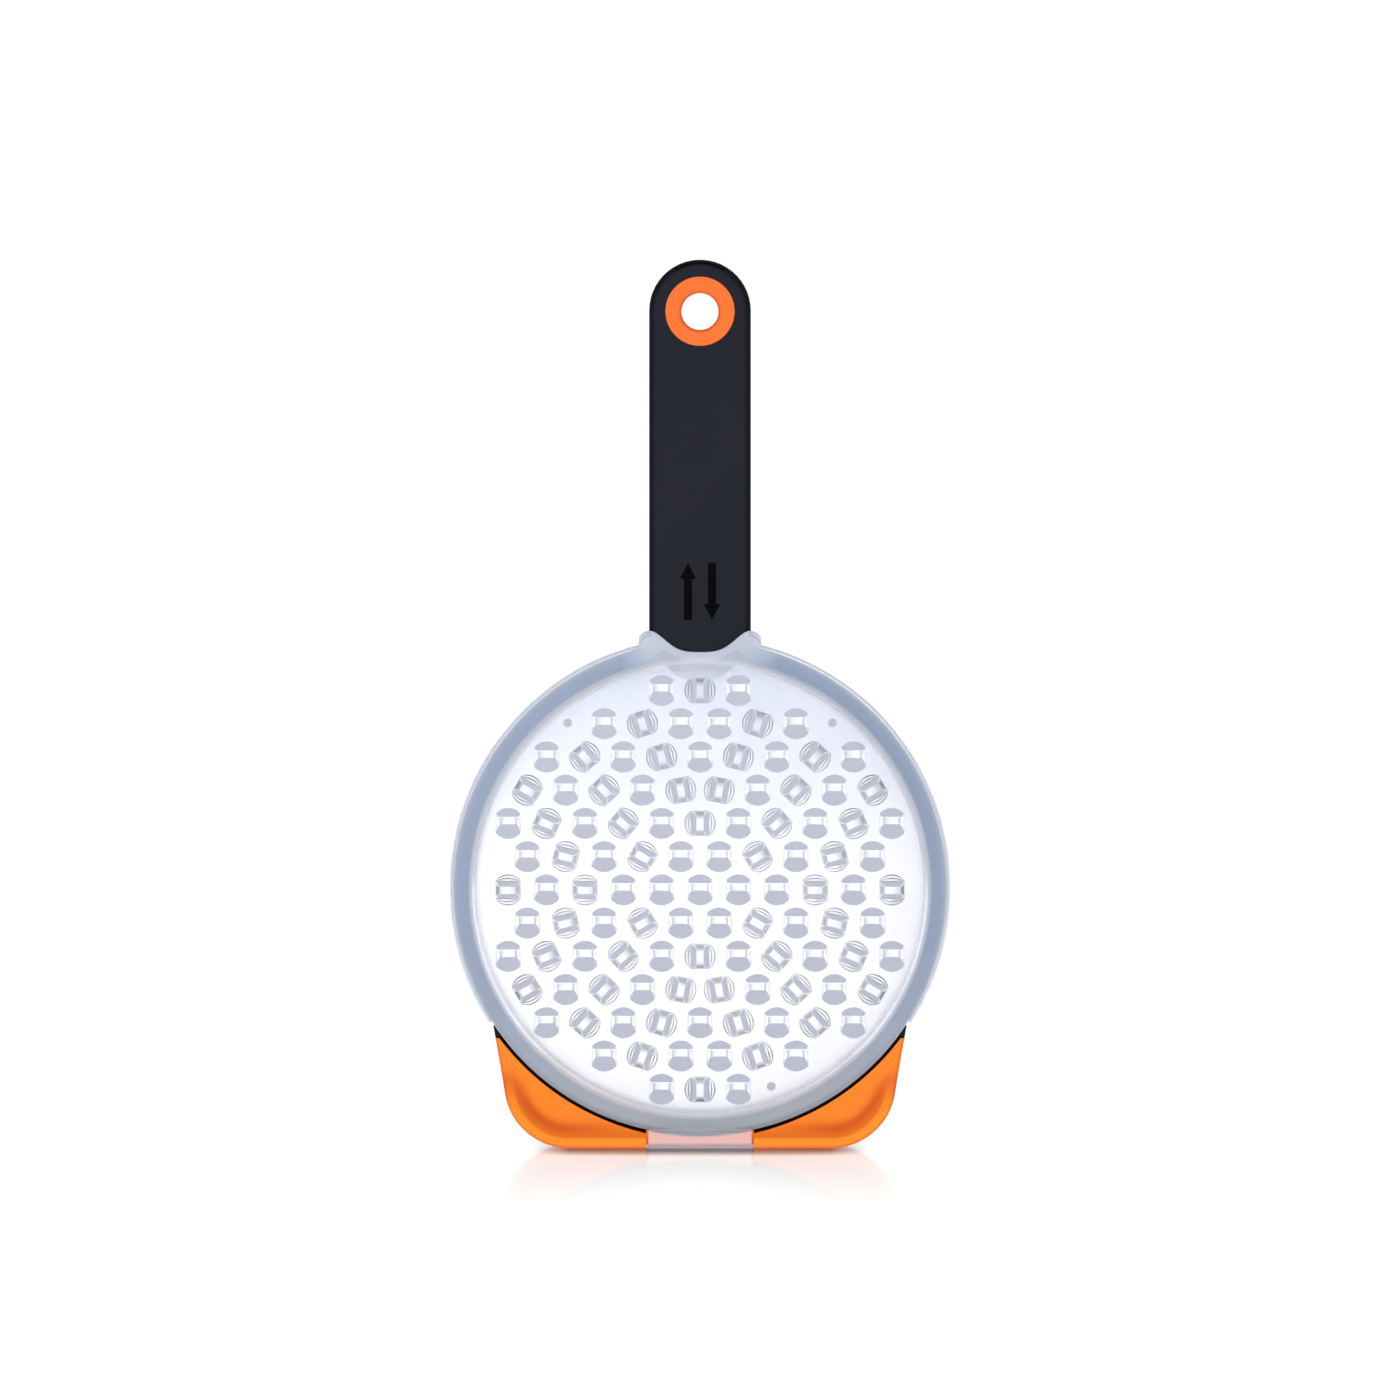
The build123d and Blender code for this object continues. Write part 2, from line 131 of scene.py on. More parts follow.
# Cover
WALL = 1.2
FACE_Y = -9.0
FACE_RADIUS = 73.6
FACE_RINGS = (0.0, 0.25, 0.5, 0.75, 0.9, 0.97)
BEND_STEPS = 4
FACE_BEND_RADIUS = 0.9
FACE_BEND_DROP = 0.8
FACE_BEND_TURN = 0.75 * math.pi / 2
INNER_SET_IN = 0.9              # of the inside against the outside, past the bend's middle
STEP_RADIUS = 74.9
STEP_ROUND = ((-0.25, -0.5), (0.1, -0.15), (0.6, 0.0))  # (outward, y) from step and rim
RIM_Y = -6.4
RIM_RADIUS = 81.4
LOWER_RIM_RADIUS = 80.0
RIM_FLAT_INSET = 1.6
SKIRT_BACK_Y = 3.0
SKIRT_BEND_RADIUS = 1.8
SKIRT_MOUTH_EASE = 0.2
RIM_BEND_RADIUS = 0.5
EDGE_SHARES = ((0.5, 0.0), (0.92, 0.0), (1.0, 0.25))  # (share of the depth, set in)
SKIRT_END = 212.6               # degrees
LIP_PEAK = (16.4, 83.5)
LIP_DIP = 76.6
LIP_SWING_POWER = 1.65
LUG_EDGE_X = 20.1
FACE_NOTCH_FLAT = 4.0
FACE_NOTCH_PEAK = (14.2, 73.4)
FACE_NOTCH_DIP = 68.8
NOTCH_MIN_SINE = 0.9            # directions at least this steep may cross the notch
NOTCH_MAX_COSINE = 0.25
NOTCH_SLOPE = (1.3, 3.5)        # the slope's width at the notch's ends, and added in its middle
NOTCH_STEP_RISE = 40.0          # how much farther out the step may lie in the notch's middle
RADIUS_ROUNDS = 30              # of the search for a curve in one direction
TONGUE_HALF_WIDTH = 16.7
TONGUE_LEDGE_Z = 6.0
TONGUE_FRONT_Y = -9.0
TONGUE_END_Y = 4.5
TONGUE_FLOOR = 1.0
TONGUE_OUTSIDE = (              # (y, z) from the rim down the front and under the foot
    (RIM_Y, TONGUE_LEDGE_Z + 0.6),
    (RIM_Y - 0.35, TONGUE_LEDGE_Z + 0.1),
    (TONGUE_FRONT_Y + 0.6, TONGUE_LEDGE_Z - 0.1),
    (TONGUE_FRONT_Y + 0.1, TONGUE_LEDGE_Z - 0.5),
    (TONGUE_FRONT_Y, TONGUE_LEDGE_Z - 1.0),
    (TONGUE_FRONT_Y, 0.5),
    (TONGUE_FRONT_Y + 0.4, 0.0),
    (TONGUE_END_Y, 0.0),
)
TONGUE_INSIDE = (
    (RIM_Y + WALL, TONGUE_LEDGE_Z - 0.6),
    (RIM_Y + WALL - 0.3, TONGUE_LEDGE_Z - 1.1),
    (TONGUE_FRONT_Y + WALL + 0.5, TONGUE_LEDGE_Z - WALL - 0.1),
    (TONGUE_FRONT_Y + WALL + 0.1, TONGUE_LEDGE_Z - WALL - 0.3),
    (TONGUE_FRONT_Y + WALL, TONGUE_LEDGE_Z - WALL - 0.6),
    (TONGUE_FRONT_Y + WALL, TONGUE_FLOOR + 0.4),
    (TONGUE_FRONT_Y + WALL + 0.3, TONGUE_FLOOR),
    (TONGUE_END_Y, TONGUE_FLOOR),
)

# Points in the part of a column that every kind of column shares, from centre to rim
SHARED_POINTS = len(FACE_RINGS) + BEND_STEPS + 1 + len(STEP_ROUND) + 1

# Where the cover's tint, painted shade and painted highlights change, as (start, end)
UNDERSIDE_HEIGHTS = (0.9, 1.9)
TONGUE_TOP_HEIGHTS = (9.0, 12.0)
LOW_HEIGHTS = (8.0, HEAD_Z - 20.0)
SHEEN_HEIGHTS = (HEAD_Z - 5.0, HEAD_Z + 72.0)
NOTCH_HEIGHTS = (HEAD_Z + FACE_NOTCH_DIP, HEAD_Z + STEP_RADIUS)
NOTCH_SIDEWAYS = (0.75 * LUG_EDGE_X, 1.3 * LUG_EDGE_X)
SHOULDER_RADII = (FACE_RADIUS - 1.6, FACE_RADIUS - 0.4)
RIM_EDGE_SHADE_RADII = (LOWER_RIM_RADIUS - 1.9, LOWER_RIM_RADIUS - 0.9)
LOWER_RIM_RADII = (LOWER_RIM_RADIUS - 0.2, LOWER_RIM_RADIUS + 0.5)
EDGE_HIGHLIGHT_RADII = (RIM_RADIUS - 2.9, RIM_RADIUS - 0.6)

# Directions of the cover's columns, in degrees
COLUMN_ANGLE = 0.5
NOTCH_START = 72.0
NOTCH_ANGLE = 0.075
NOTCH_COLUMNS = 480
PAIR_ANGLE = 0.01

# Studio
SEEN_WHITE = 1.05
FRONT_LIGHT = 0.85
BACK_LIGHT = 1.0
SIDE_LIGHT = 0.4
LIGHT_RISE = (0.05, 0.85)       # how far towards front or back the light starts and stops rising
LIGHT_COLOR = (0.975, 0.985, 1.0, 1)
# Painted shade for what is seen through the cover
SHADE_BEHIND_COVER = (0.385, 0.405, 0.50, 1)
WHITE = (1, 1, 1, 1)
FLOOR_REACH = 6.0               # metres
FLOOR_IN_MIRRORS = 1.0
FLOOR_SEEN = 1.04
FLOOR_GLOW = (0.42, 1.1)        # near the foot and far from it
FLOOR_GLOW_REACH = (150, 900)
# Painted contact shadow on the floor, driven by ambient occlusion
CONTACT_REACH = 0.05            # metres
CONTACT_SAMPLES = 16
CONTACT_OPENNESS = (0.68, 0.88)  # shares of open sky between which the shade goes
CONTACT_SIDEWAYS = (42, 56)
CONTACT_SHADOW_COLOR = (0.10, 0.10, 0.10, 1)
REFLECTION = 0.34
REFLECTION_REACH = (20, 240)
LAMP_TARGET = (0, 0, 0.12)      # metres, as are the places and sizes of the lamps
LAMPS = (                       # (name, place, size, watts)
    ("key_light", (-0.45, -1.5, 0.35), 1.1, 5.5),
    ("top_light", (0.1, -0.2, 1.7), 0.9, 1.5),
    ("back_light", (0.3, 1.0, 0.8), 0.9, 2.0),
)
CAMERA_PLACE = (0, -2.5, 0.205)
CAMERA_LENS = 197.97
CAMERA_SHIFT_Y = -0.1322


def smooth(value, start, end):
    share = min(1.0, max(0.0, (value - start) / (end - start)))
    return share * share * (3 - 2 * share)


def new_piece(name, vertices, faces, material, body, replaced):
    mesh = bpy.data.meshes.new(name)
    mesh.from_pydata([Vector(v) * MM for v in vertices], [], faces)
    mesh.update()
    work = bmesh.new()
    work.from_mesh(mesh)
    bmesh.ops.remove_doubles(work, verts=work.verts, dist=MERGE_DISTANCE)
    bmesh.ops.recalc_face_normals(work, faces=work.faces)
    work.to_mesh(mesh)
    work.free()
    mesh.shade_smooth()
    mesh.set_sharp_from_angle(angle=math.radians(SHARP_ANGLE))
    mesh.materials.append(material)
    piece = bpy.data.objects.new(name, mesh)
    bpy.context.scene.collection.objects.link(piece)
    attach(piece, body)
    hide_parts(replaced)


def dress(node, material):
    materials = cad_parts[node].data.materials
    materials.clear()
    materials.append(material)


# ------------------------------------------------------------------------ nodes


class Nodes:
    """Short hand for building the node tree of a material or a world."""

    def __init__(self, owner, output_kind):
        owner.use_nodes = True
        self.owner = owner
        self.tree = owner.node_tree
        self.tree.nodes.clear()
        self.output = self.add(output_kind)

    def fill(self, socket, value):
        if isinstance(value, bpy.types.NodeSocket):
            self.tree.links.new(value, socket)
        else:
            socket.default_value = value

    def add(self, kind, **inputs):
        node = self.tree.nodes.new(kind)
        for key, value in inputs.items():
            self.fill(node.inputs[key.replace("_", " ")], value)
        return node

    def calculate(self, operation, *values, kind="ShaderNodeMath"):
        node = self.add(kind)
        node.operation = operation
        for socket, value in zip(node.inputs, values):
            self.fill(socket, value)
        return node.outputs["Value"] if operation == "LENGTH" else node.outputs[0]

    def vector(self, operation, *values):
        return self.calculate(operation, *values, kind="ShaderNodeVectorMath")

    def product(self, first, *others):
        for other in others:
            first = self.calculate("MULTIPLY", first, other)
        return first

    def between(self, value, start, end, low=0.0, high=1.0, eased=False):
        """Maps start..end onto low..high, level beyond both ends."""
        node = self.add(
            "ShaderNodeMapRange", Value=value,
            From_Min=start, From_Max=end, To_Min=low, To_Max=high,
        )
        if eased:
            node.interpolation_type = "SMOOTHSTEP"
        return node.outputs["Result"]

    def over(self, length, start, end, low=0.0, high=1.0, eased=False):
        """As between, with start and end in millimetres."""
        return self.between(length, start * MM, end * MM, low, high, eased)

    def ramp(self, share, low, high):
        """Maps 0..1 onto low..high."""
        return self.between(share, 0.0, 1.0, low, high)

    def place(self, kind="Object"):
        return self.add("ShaderNodeTexCoord").outputs[kind]

    def axes(self, kind="Object"):
        return self.add("ShaderNodeSeparateXYZ", Vector=self.place(kind)).outputs

    def noise(self, scale, detail, stretch=(1, 1, 1)):
        mapping = self.add("ShaderNodeMapping", Vector=self.place(), Scale=stretch)
        return self.add(
            "ShaderNodeTexNoise", Vector=mapping.outputs[0], Scale=scale, Detail=detail
        ).outputs["Fac"]

    def bump(self, height, distance, strength):
        return self.add(
            "ShaderNodeBump", Height=height, Distance=distance, Strength=strength
        ).outputs["Normal"]

    def facing(self):
        """0 where a surface faces the viewer, 1 where it is seen edge on."""
        return self.add("ShaderNodeLayerWeight", Blend=0.5).outputs["Facing"]

    def turned_away(self, power):
        return self.calculate("POWER", self.facing(), power)

    def mix_color(self, share, first, second):
        node = self.add("ShaderNodeMix")
        node.data_type = "RGBA"
        colors = [s for s in node.inputs if s.type == "RGBA"]
        factor = [s for s in node.inputs if s.type == "VALUE"][0]
        for socket, value in zip([factor] + colors, (share, first, second)):
            self.fill(socket, value)
        return [s for s in node.outputs if s.type == "RGBA"][0]

    def mix_shader(self, share, first, second):
        node = self.add("ShaderNodeMixShader", Fac=share)
        self.fill(node.inputs[1], first)
        self.fill(node.inputs[2], second)
        return node.outputs[0]

    def finish(self, shader):
        self.fill(self.output.inputs["Surface"], shader)
        return self.owner


def material_nodes(name):
    return Nodes(bpy.data.materials.new(name), "ShaderNodeOutputMaterial")


def linear(red, green, blue):
    """Linear colour from 0-255 display values."""
    parts = [c / 255 for c in (red, green, blue)]
    parts = [c / 12.92 if c <= 0.04045 else ((c + 0.055) / 1.055) ** 2.4 for c in parts]
    return (*parts, 1.0)


# -------------------------------------------------------------------- materials


def moulded_nylon():
    """Fine matt black, with painted shade where it turns away, and the arrows in the front glossier
    and darker.
    """
    nodes = material_nodes("moulded_nylon")
    grain = nodes.noise(2600.0, 2.0)
    cloud = nodes.noise(38.0, 4.0)
    # Painted shade: the colour darkens and the shine fades where the surface turns away from the
    # viewer.
    edge_shade = nodes.turned_away(0.5)
    axes = nodes.axes()
    in_arrow = nodes.product(
        nodes.over(axes["Y"], ARROW_MOUTH_Y, ARROW_FLOOR_Y),
        nodes.over(axes["Y"], ARROW_FLOOR_Y + MASK_EDGE, ARROW_FLOOR_Y + 2 * MASK_EDGE, 1.0, 0.0),
        nodes.over(axes["Z"], ARROW_LOW_Z, ARROW_LOW_Z + MASK_EDGE),
        nodes.over(
            nodes.calculate("ABSOLUTE", axes["X"]),
            ARROWS_HALF_WIDTH, ARROWS_HALF_WIDTH + MASK_EDGE, 1.0, 0.0,
        ),
    )
    color = nodes.mix_color(cloud, (0.0050, 0.0060, 0.0120, 1), (0.0072, 0.0080, 0.0150, 1))
    color = nodes.mix_color(edge_shade, color, (0.0006, 0.0008, 0.0022, 1))
    color = nodes.mix_color(in_arrow, color, (0.001, 0.001, 0.002, 1))
    shader = nodes.add(
        "ShaderNodeBsdfPrincipled",
        Base_Color=color,
        Specular_IOR_Level=nodes.ramp(in_arrow, nodes.ramp(edge_shade, 0.12, 0.0), 0.015),
        Roughness=nodes.ramp(in_arrow, nodes.ramp(grain, 0.44, 0.6), 0.3),
        Normal=nodes.bump(grain, 0.00012, 0.35),
    )
    return nodes.finish(shader.outputs[0])


def finish_orange(nodes, color, roughness):
    """Satin orange of a given colour, with painted shade, darker and redder, where it turns away.
    """
    grain = nodes.noise(1500.0, 3.0)
    # Painted shade where the surface turns away, held to at most 0.55.
    edge_shade = nodes.calculate("MINIMUM", nodes.turned_away(0.8), 0.55)
    shader = nodes.add(
        "ShaderNodeBsdfPrincipled",
        Base_Color=nodes.mix_color(edge_shade, color, (0.50, 0.035, 0.001, 1)),
        Specular_IOR_Level=0.22,
        Roughness=nodes.ramp(grain, roughness - 0.06, roughness + 0.06),
        Normal=nodes.bump(grain, 0.0001, 0.3),
    )
    return nodes.finish(shader.outputs[0])


def orange_plastic():
    nodes = material_nodes("orange_plastic")
    cloud = nodes.noise(45.0, 3.0)
    # Set darker than the foot's orange: painted shade for the dimmer light at the top of the
    # grater.
    color = nodes.mix_color(cloud, (0.71, 0.120, 0.009, 1), (0.75, 0.134, 0.012, 1))
    return finish_orange(nodes, color, 0.42)


def orange_rubber():
    """Orange, with a painted highlight on the foot's bead and painted shade in the hollow inside
    its corners.
    """
    nodes = material_nodes("orange_rubber")
    cloud = nodes.noise(45.0, 3.0)
    axes = nodes.axes()
    depth = nodes.calculate("ABSOLUTE", axes["Y"])
    sideways = nodes.calculate("ABSOLUTE", axes["X"])
    # Painted highlight on the bead, painted shade in the hollow inside the corners.
    bead_highlight = nodes.over(depth, *BEAD_TOP_DEPTHS)
    hollow_shade = nodes.over(depth, *HOLLOW_INNER_DEPTHS)
    hollow_shade = nodes.over(sideways, *HOLLOW_SIDEWAYS, 0.0, hollow_shade)
    hollow_shade = nodes.over(axes["Z"], *HOLLOW_HEIGHTS, hollow_shade, 0.0)
    hollow_shade = nodes.over(depth, *HOLLOW_OUTER_DEPTHS, hollow_shade, 0.0)
    color = nodes.mix_color(cloud, (0.90, 0.200, 0.006, 1), (0.94, 0.225, 0.009, 1))
    color = nodes.mix_color(bead_highlight, color, (0.96, 0.27, 0.012, 1))
    color = nodes.mix_color(hollow_shade, color, (0.68, 0.105, 0.004, 1))
    return finish_orange(nodes, color, 0.5)


def brushed_steel():
    """Bright steel, with painted shade dimming it up the sheet, and a little painted glow behind
    the sheet.
    """
    nodes = material_nodes("brushed_steel")
    lines = nodes.noise(420.0, 4.0, stretch=(1.0, 1.0, 14.0))
    cloud = nodes.noise(24.0, 3.0)
    patches = nodes.ramp(nodes.noise(30.0, 2.0, stretch=(0.6, 1.0, 1.0)), 0.3, 1.5)
    axes = nodes.axes()
    behind_sheet = nodes.over(axes["Y"], 0.7 * PLATE_HALF, 2.0 * PLATE_HALF)
    # Painted shade: the steel darkens, in patches, up the sheet, but not behind it.
    upper_shade = nodes.product(
        nodes.over(axes["Z"], HEAD_Z + 5.0, HEAD_Z + 75.0),
        patches,
        nodes.ramp(behind_sheet, 1.0, 0.0),
    )
    # Painted glow: the steel behind the sheet gives off light where it turns away.
    back_glow = nodes.product(nodes.turned_away(0.8), behind_sheet)
    color = nodes.mix_color(cloud, linear(221, 220, 221), linear(231, 230, 230))
    shader = nodes.add(
        "ShaderNodeBsdfPrincipled",
        Base_Color=nodes.mix_color(upper_shade, color, linear(184, 192, 206)),
        Metallic=0.85,
        Emission_Color=(0.93, 0.95, 1.0, 1),
        Emission_Strength=nodes.ramp(back_glow, 0.0, 0.42),
        Roughness=nodes.ramp(lines, 0.24, 0.36),
        Normal=nodes.bump(lines, 0.00004, 0.25),
    )
    return nodes.finish(shader.outputs[0])


def cover_zones(nodes):
    """Masks by place over the cover, 1 where the cover has what their names say."""
    axes = nodes.axes()
    height = axes["Z"]
    sideways = nodes.calculate("ABSOLUTE", axes["X"])
    from_head = nodes.vector("SUBTRACT", nodes.place(), (0, 0, HEAD_Z * MM))
    reach = nodes.vector("LENGTH", nodes.vector("MULTIPLY", from_head, (1, 0, 1)))
    inside_lower_rim = nodes.over(reach, *LOWER_RIM_RADII, 1.0, 0.0)
    off_tongue = nodes.over(height, *TONGUE_TOP_HEIGHTS, inside_lower_rim, 1.0)
    rim = nodes.product(nodes.over(reach, FACE_RADIUS, STEP_RADIUS), off_tongue)
    off_rim = nodes.ramp(rim, 1.0, 0.0)
    low = nodes.over(height, *LOW_HEIGHTS, 1.0, 0.0)
    low_rim = nodes.product(rim, low)
    shoulder = nodes.over(reach, *SHOULDER_RADII)
    upper = nodes.over(height, *SHEEN_HEIGHTS, eased=True)
    cloudy = nodes.ramp(nodes.noise(26.0, 3.0, stretch=(1.0, 1.0, 0.45)), 0.35, 1.45)
    return SimpleNamespace(
        rim=rim,
        low=low,
        low_rim=low_rim,
        off_tongue=off_tongue,
        shoulder=shoulder,
        step=nodes.product(shoulder, off_rim),
        # Painted sheen: cloudy, denser milk up the face.
        upper_sheen=nodes.product(upper, cloudy, off_rim),
        notch=nodes.product(
            nodes.over(height, *NOTCH_HEIGHTS),
            nodes.over(sideways, *NOTCH_SIDEWAYS, 1.0, 0.0),
        ),
        # Painted shade towards the lower rim's rounded edge.
        rim_edge_shade=nodes.over(reach, *RIM_EDGE_SHADE_RADII, 0.0, nodes.ramp(low_rim, 0.0, 0.75)),
        # Painted highlight towards the rim's outer edge, fading out lower down.
        edge_highlight=nodes.over(reach, *EDGE_HIGHLIGHT_RADII, 0.0, nodes.ramp(low, 0.8, 0.0)),
        above_underside=nodes.over(height, *UNDERSIDE_HEIGHTS),
    )


def cover_tint(nodes, zones, facing):
    haze = nodes.noise(60.0, 4.0)
    face_tint = nodes.mix_color(haze, (0.79, 0.82, 0.91, 1), (0.84, 0.87, 0.94, 1))
    rim_tint = nodes.mix_color(haze, (0.58, 0.70, 0.95, 1), (0.64, 0.76, 1.0, 1))
    notch_tint = nodes.mix_color(haze, (0.60, 0.65, 0.75, 1), (0.66, 0.71, 0.80, 1))
    notch_tint = nodes.mix_color(zones.rim, (0.95, 0.95, 0.97, 1), notch_tint)
    tint = nodes.mix_color(zones.rim, face_tint, rim_tint)
    tint = nodes.mix_color(zones.low_rim, tint, (0.83, 0.90, 1.0, 1))
    # Painted shade towards the lower rim's rounded edge.
    tint = nodes.mix_color(zones.rim_edge_shade, tint, (0.52, 0.55, 0.64, 1))
    # Painted highlight towards the rim's outer edge.
    tint = nodes.mix_color(zones.edge_highlight, tint, (0.97, 0.98, 1.0, 1))
    tint = nodes.mix_color(zones.notch, tint, notch_tint)
    # Painted glow: pink on the tongue for the orange light of the foot behind it.
    tint = nodes.mix_color(zones.off_tongue, (0.98, 0.60, 0.56, 1), tint)
    # Painted highlight: lighter where the surface turns away, on its rounded edges.
    rounded_edge_highlight = nodes.between(facing, 0.1, 0.5, 0.0, 0.8)
    tint = nodes.mix_color(rounded_edge_highlight, tint, (0.90, 0.93, 0.98, 1))
    # Painted shade: a dark line where the surface is seen edge on.
    outline = nodes.between(facing, 0.72, 0.95)
    tint = nodes.mix_color(outline, tint, (0.50, 0.54, 0.62, 1))
    # Painted shade on the tongue's strip under the foot.
    return nodes.mix_color(zones.above_underside, (0.40, 0.30, 0.35, 1), tint)


def cover_density(nodes, zones, facing):
    """How much of the milky colour hides what is behind, more where it is seen edge on."""
    density = nodes.ramp(zones.rim, 0.115, 0.38)
    for more in (
        nodes.ramp(zones.notch, 0.0, 0.5),
        nodes.ramp(zones.off_tongue, 0.35, 0.0),
        nodes.ramp(zones.step, 0.0, nodes.ramp(zones.low, 0.2, 0.5)),
        # Painted sheen: a little denser milk up the face.
        nodes.ramp(zones.upper_sheen, 0.0, 0.05),
    ):
        density = nodes.calculate("ADD", density, more)
    edge_on = nodes.calculate("POWER", facing, 1.3)
    return nodes.ramp(edge_on, density, nodes.ramp(zones.shoulder, 0.25, 0.7))


def milky_plastic():
    """Thin translucent skin: clear and milky mixed, under a soft gloss."""
    nodes = material_nodes("milky_plastic")
    normal = nodes.bump(nodes.noise(1800.0, 2.0), 0.00006, 0.3)
    facing = nodes.facing()
    zones = cover_zones(nodes)
    tint = cover_tint(nodes, zones, facing)
    milk = nodes.add("ShaderNodeBsdfDiffuse", Color=tint, Normal=normal)
    glow = nodes.add("ShaderNodeBsdfTranslucent", Color=tint, Normal=normal)
    body = nodes.mix_shader(0.35, milk.outputs[0], glow.outputs[0])
    clear = nodes.add("ShaderNodeBsdfTransparent", Color=(0.99, 0.99, 1.0, 1))
    wall = nodes.mix_shader(cover_density(nodes, zones, facing), clear.outputs[0], body)
    gloss = nodes.add("ShaderNodeBsdfAnisotropic", Color=WHITE, Roughness=0.22, Normal=normal)
    sheen = nodes.add("ShaderNodeFresnel", IOR=1.35)
    return nodes.finish(nodes.mix_shader(sheen.outputs[0], wall, gloss.outputs[0]))


# ---------------------------------------------------------------- grating plate


def circle(middle_x, middle_z, radius, steps):
    points = []
    for i in range(steps):
        angle = 2 * math.pi * i / steps
        points.append((middle_x + radius * math.cos(angle), middle_z + radius * math.sin(angle)))
    return points


def tube_faces(start, rings, size):
    """Faces between neighbouring closed rings of points."""
    faces = []
    for i in range(rings - 1):
        a, b = start + i * size, start + (i + 1) * size
        for j in range(size):
            k = (j + 1) % size
            faces.append((a + j, a + k, b + k, b + j))
    return faces


def tooth_lattice():
    """Every tooth as (x, z, is_straight), z from the middle of the tooth field."""
    row_pitch = TOOTH_PITCH * math.sqrt(3) / 2
    rows = int(TOOTH_FIELD_RADIUS / row_pitch) + 1
    teeth = []
    for row in range(-rows, rows + 1):
        shift = 0.5 if row % 2 else 0.0
        for column in range(-rows, rows + 1):
            across = column + shift
            x, z = across * TOOTH_PITCH, row * row_pitch
            if math.hypot(x, z) > TOOTH_FIELD_RADIUS:
                continue
            diagonal = round(abs(across) - abs(row) / 2)
            teeth.append((x, z, diagonal % 2 == 0 or math.hypot(x, z) < NEAR_CENTRE))
    return teeth


def tooth_frame(tooth):
    """Turns (along, across, raised) of a tooth into a point of the plate."""
    x, z, is_straight = tooth
    angle = 0.0 if is_straight else math.atan2(z, x)
    cosine, sine = math.cos(angle), math.sin(angle)
    side = 1 if is_straight else -1

    def place(along, across, raised):
        return (
            x + along * cosine - across * sine,
            side * raised,
            TOOTH_FIELD_Z + z + along * sine + across * cosine,
        )

    return place


def opening_angle(side, share):
    """Direction of a point on one of an opening's two arcs, share going from 0 to 1."""
    corner = math.acos(BLADE_HALF_SPAN / OPENING_RADIUS)
    return corner + (math.pi - 2 * corner) * share + side * math.pi


def opening_outline():
    """One opening as (along, across) points, counter-clockwise."""
    points = []
    for side in (0, 1):
        for i in range(OPENING_STEPS + 1):
            angle = opening_angle(side, i / OPENING_STEPS)
            points.append((OPENING_RADIUS * math.cos(angle), OPENING_RADIUS * math.sin(angle)))
    return points


def blade_rows(is_straight):
    """Rows across a blade as (along, height, half width): the outside, then the inside."""
    power = STRAIGHT_ARCH_POWER if is_straight else RADIAL_ARCH_POWER
    outside, inside = [], []
    for i in range(BLADE_STEPS + 1):
        turn = math.pi * i / BLADE_STEPS
        share = math.copysign(abs(math.cos(turn)) ** (2 / power), -math.cos(turn))
        rise = abs(math.sin(turn)) ** (2 / power)
        flare = (1 - rise) ** BLADE_WAIST_POWER
        width = BLADE_HALF_WIDTH + (BLADE_END_WIDTH - BLADE_HALF_WIDTH) * flare
        outside.append((BLADE_HALF_SPAN * share, PLATE_HALF + BLADE_RISE * rise, width))
        inner_span = BLADE_HALF_SPAN - BLADE_END_THICKNESS
        inside.append((inner_span * share, BLADE_UNDERSIDE_RISE * rise - PLATE_HALF, width))
    return outside + inside


def add_blade(tooth, vertices, faces):
    place = tooth_frame(tooth)
    offset = STRAIGHT_BLADE_OFFSET if tooth[2] else 0.0
    start = len(vertices)
    for along, height, width in blade_rows(tooth[2]):
        raised = min(1.0, max(0.0, height / BLADE_RISE))
        for share in BLADE_COLUMNS:
            vertices.append(place(along, share * width + offset * raised, height))
    columns = len(BLADE_COLUMNS)
    inside = (BLADE_STEPS + 1) * columns
    for i in range(BLADE_STEPS):
        for j in range(columns - 1):
            a = start + i * columns + j
            faces.append((a, a + 1, a + columns + 1, a + columns))
            a += inside
            faces.append((a, a + columns, a + columns + 1, a + 1))
        for j in (0, columns - 1):
            a = start + i * columns + j
            faces.append((a, a + columns, a + columns + inside, a + inside))


def add_lips(tooth, vertices, faces):
    """Raised rims either side of a radial blade, as thin curved sheets."""
    place = tooth_frame(tooth)
    for side in (0, 1):
        start = len(vertices)
        for i in range(LIP_STEPS + 1):
            share = i / LIP_STEPS
            angle = opening_angle(side, share)
            swell = math.sin(math.pi * share) ** LIP_SWELL_POWER
            upper = [(inward, PLATE_HALF + LIP_RISE * rise * swell) for inward, rise in LIP_SECTION]
            lower = [(inward, height - LIP_THICKNESS) for inward, height in reversed(upper)]
            for inward, height in upper + lower:
                radius = OPENING_RADIUS - LIP_WIDTH * inward * swell
                vertices.append(place(radius * math.cos(angle), radius * math.sin(angle), height))
        faces += tube_faces(start, LIP_STEPS + 1, 2 * len(LIP_SECTION))


def hole_outlines(teeth):
    """Closed outlines in X and Z of the teeth's openings and the locating holes."""
    outlines = []
    for tooth in teeth:
        place = tooth_frame(tooth)
        outline = [place(along, across, 0) for along, across in opening_outline()]
        outlines.append([(x, z) for x, _, z in outline])
    for degrees in LOCATING_ANGLES:
        turn = math.radians(degrees)
        x = LOCATING_CIRCLE_RADIUS * math.cos(turn)
        z = HEAD_Z + LOCATING_CIRCLE_RADIUS * math.sin(turn)
        outlines.append(circle(x, z, LOCATING_HOLE_RADIUS, LOCATING_HOLE_STEPS))
    return outlines


def middle_of(points):
    return (sum(p[0] for p in points) / len(points), sum(p[1] for p in points) / len(points))


def in_outline(point, outline):
    inside = False
    for first, second in zip(outline, outline[1:] + outline[:1]):
        if (first[1] > point[1]) != (second[1] > point[1]):
            share = (point[1] - first[1]) / (second[1] - first[1])
            if point[0] < first[0] + share * (second[0] - first[0]):
                inside = not inside
    return inside


